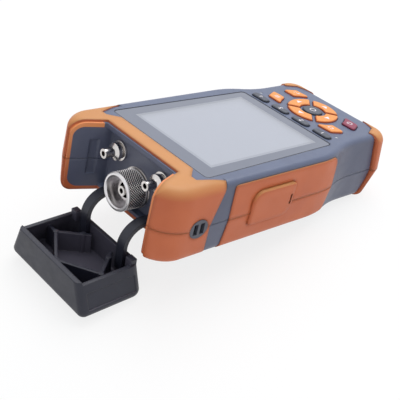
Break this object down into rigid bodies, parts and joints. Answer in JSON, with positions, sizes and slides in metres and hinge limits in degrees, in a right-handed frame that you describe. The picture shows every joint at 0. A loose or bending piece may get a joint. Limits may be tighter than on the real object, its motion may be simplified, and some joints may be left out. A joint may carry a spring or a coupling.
{
  "type": "handheld fibre test meter",
  "caption": "Handheld fibre test meter with screen, keypad and rubber bumpers; its ports sit between two horns under a hinged dust cap.",
  "frame": {"origin": "centre of the flat back face", "axes": "+Z out of the screen, -Y the way the ports face, +X to the socket cover's side"},
  "size_m": [0.0861, 0.1893, 0.0644],
  "materials": {
    "orange_rubber": "soft matt",
    "grey_housing": "fine grain",
    "dark_keys": "matt",
    "orange_keys": "matt",
    "red_key": "matt",
    "window": "gloss",
    "light_pipe": "clear",
    "display": "satin",
    "black_rubber": "matt",
    "nickel": "bright",
    "brass": "plain",
    "board": "coated",
    "battery": "sleeved",
    "module_case": "plain",
    "steel": "plain",
    "black_plastic": "plain"
  },
  "bodies": {
    "main": {"front_bumper_upper": "orange_rubber", "front_bumper_lower": "orange_rubber", "grip_left_upper": "orange_rubber", "grip_left_lower": "orange_rubber", "grip_right_upper": "orange_rubber", "grip_right_lower": "orange_rubber", "rear_bumper_left_upper": "orange_rubber", "rear_bumper_left_lower": "orange_rubber", "rear_bumper_right_upper": "orange_rubber", "rear_bumper_right_lower": "orange_rubber", "upper_shell": "grey_housing", "lower_shell": "grey_housing", "port_plate": "grey_housing", "lanyard_eye": "grey_housing", "screen_window": "window", "status_lights": "light_pipe", "display_module": "display", "display_gasket": "black_rubber", "keypad_mat": "black_rubber", "cap_strap_left": "black_rubber", "cap_strap_right": "black_rubber", "power_meter_adapter": "nickel", "fault_locator_adapter": "nickel", "reflectometer_adapter": "nickel", "photodiode": "brass", "laser_can": "brass", "main_board": "board", "socket_board": "board", "battery_pack": "battery", "reflectometer_module": "module_case", "data_socket": "steel", "case_screws": "steel", "charging_socket": "black_plastic"},
    "cap": {"dust_cap": "black_rubber"},
    "nut": {"knurled_nut": "nickel"},
    "cover": {"socket_cover": "orange_rubber"},
    "soft_key_1_press": {"soft_key_1": "dark_keys"},
    "soft_key_2_press": {"soft_key_2": "dark_keys"},
    "soft_key_3_press": {"soft_key_3": "dark_keys"},
    "soft_key_4_press": {"soft_key_4": "dark_keys"},
    "function_key_press": {"function_key": "orange_keys"},
    "back_key_press": {"back_key": "orange_keys"},
    "menu_key_press": {"menu_key": "orange_keys"},
    "power_key_press": {"power_key": "red_key"},
    "right_key_press": {"right_key": "orange_keys"},
    "rear_key_press": {"rear_key": "orange_keys"},
    "left_key_press": {"left_key": "orange_keys"},
    "front_key_press": {"front_key": "orange_keys"},
    "centre_key_press": {"centre_key": "dark_keys"}
  },
  "joints": [
    {"name": "cap_hinge", "type": "hinge", "parent": "main", "child": "cap", "pos_m": [0, -0.0634, -0.006], "axis": [1, 0, 0], "range_deg": [-94, 45], "stiffness_Nm_per_rad": 0.1, "deforming": ["cap_strap_left", "cap_strap_right"]},
    {"name": "nut_turn", "type": "hinge", "parent": "main", "child": "nut", "pos_m": [0, -0.0672, 0.0149], "axis": [0, -1, 0], "continuous": true},
    {"name": "cover_hinge", "type": "hinge", "parent": "main", "child": "cover", "pos_m": [0.0435, -0.028, 0.01975], "axis": [0, 0, -1], "range_deg": [0, 100]},
    {"name": "soft_key_1_press", "type": "slide", "parent": "main", "child": "soft_key_1_press", "axis": [0, 0, -1], "range_m": [0, 0.0007], "stiffness_N_per_m": 2000},
    {"name": "soft_key_2_press", "type": "slide", "parent": "main", "child": "soft_key_2_press", "axis": [0, 0, -1], "range_m": [0, 0.0007], "stiffness_N_per_m": 2000},
    {"name": "soft_key_3_press", "type": "slide", "parent": "main", "child": "soft_key_3_press", "axis": [0, 0, -1], "range_m": [0, 0.0007], "stiffness_N_per_m": 2000},
    {"name": "soft_key_4_press", "type": "slide", "parent": "main", "child": "soft_key_4_press", "axis": [0, 0, -1], "range_m": [0, 0.0007], "stiffness_N_per_m": 2000},
    {"name": "function_key_press", "type": "slide", "parent": "main", "child": "function_key_press", "axis": [0, 0, -1], "range_m": [0, 0.0007], "stiffness_N_per_m": 2000},
    {"name": "back_key_press", "type": "slide", "parent": "main", "child": "back_key_press", "axis": [0, 0, -1], "range_m": [0, 0.0007], "stiffness_N_per_m": 2000},
    {"name": "menu_key_press", "type": "slide", "parent": "main", "child": "menu_key_press", "axis": [0, 0, -1], "range_m": [0, 0.0007], "stiffness_N_per_m": 2000},
    {"name": "power_key_press", "type": "slide", "parent": "main", "child": "power_key_press", "axis": [0, 0, -1], "range_m": [0, 0.0007], "stiffness_N_per_m": 2000},
    {"name": "right_key_press", "type": "slide", "parent": "main", "child": "right_key_press", "axis": [0, 0, -1], "range_m": [0, 0.0007], "stiffness_N_per_m": 2000},
    {"name": "rear_key_press", "type": "slide", "parent": "main", "child": "rear_key_press", "axis": [0, 0, -1], "range_m": [0, 0.0007], "stiffness_N_per_m": 2000},
    {"name": "left_key_press", "type": "slide", "parent": "main", "child": "left_key_press", "axis": [0, 0, -1], "range_m": [0, 0.0007], "stiffness_N_per_m": 2000},
    {"name": "front_key_press", "type": "slide", "parent": "main", "child": "front_key_press", "axis": [0, 0, -1], "range_m": [0, 0.0007], "stiffness_N_per_m": 2000},
    {"name": "centre_key_press", "type": "slide", "parent": "main", "child": "centre_key_press", "axis": [0, 0, -1], "range_m": [0, 0.0007], "stiffness_N_per_m": 2000}
  ]
}
